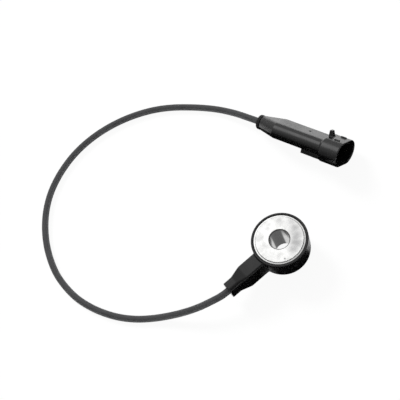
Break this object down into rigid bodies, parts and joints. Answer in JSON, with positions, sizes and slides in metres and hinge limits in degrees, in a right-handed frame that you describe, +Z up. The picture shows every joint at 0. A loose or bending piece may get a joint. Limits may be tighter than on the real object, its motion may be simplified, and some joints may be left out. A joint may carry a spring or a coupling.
{
  "type": "engine knock sensor",
  "caption": "Ring-type engine knock sensor with a bolt bore, a moulded side neck, a free two-core cable and an oval plug connector.",
  "frame": {"origin": "on the surface it lies on, under the middle of the sensor head with its neck", "axes": "+X from the cable neck towards the ring head, +Z up along the bolt bore and out of the bright contact face"},
  "size_m": [0.1371, 0.1211, 0.0166],
  "materials": {
    "zinc_plated_steel": "bright zinc plate, lightly mottled",
    "turned_steel": "turned, oiled",
    "spring_steel": "blued",
    "tinned_bronze": "tin plated",
    "piezo_ceramic": "fired ceramic",
    "insulating_film": "amber film",
    "housing_plastic": "satin moulded",
    "connector_plastic": "satin moulded",
    "carrier_plastic": "moulded",
    "seal_rubber": "matt",
    "cable_sheath": "matt extruded",
    "white_insulation": "smooth",
    "black_insulation": "smooth"
  },
  "bodies": {
    "root": {"sleeve": "zinc_plated_steel", "housing": "housing_plastic", "front_insulating_washer": "insulating_film", "front_contact_plate": "tinned_bronze", "piezo_ring": "piezo_ceramic", "rear_contact_plate": "tinned_bronze", "rear_insulating_washer": "insulating_film", "insulating_tube": "insulating_film", "seismic_mass": "turned_steel", "disc_spring": "spring_steel", "ring_nut": "turned_steel", "signal_core_head": "white_insulation", "ground_core_head": "black_insulation", "cable": "cable_sheath", "connector_shell": "connector_plastic", "cable_seal": "seal_rubber", "terminal_carrier": "carrier_plastic", "signal_terminal": "tinned_bronze", "ground_terminal": "tinned_bronze", "signal_core_connector": "white_insulation", "ground_core_connector": "black_insulation"}
  },
  "joints": []
}
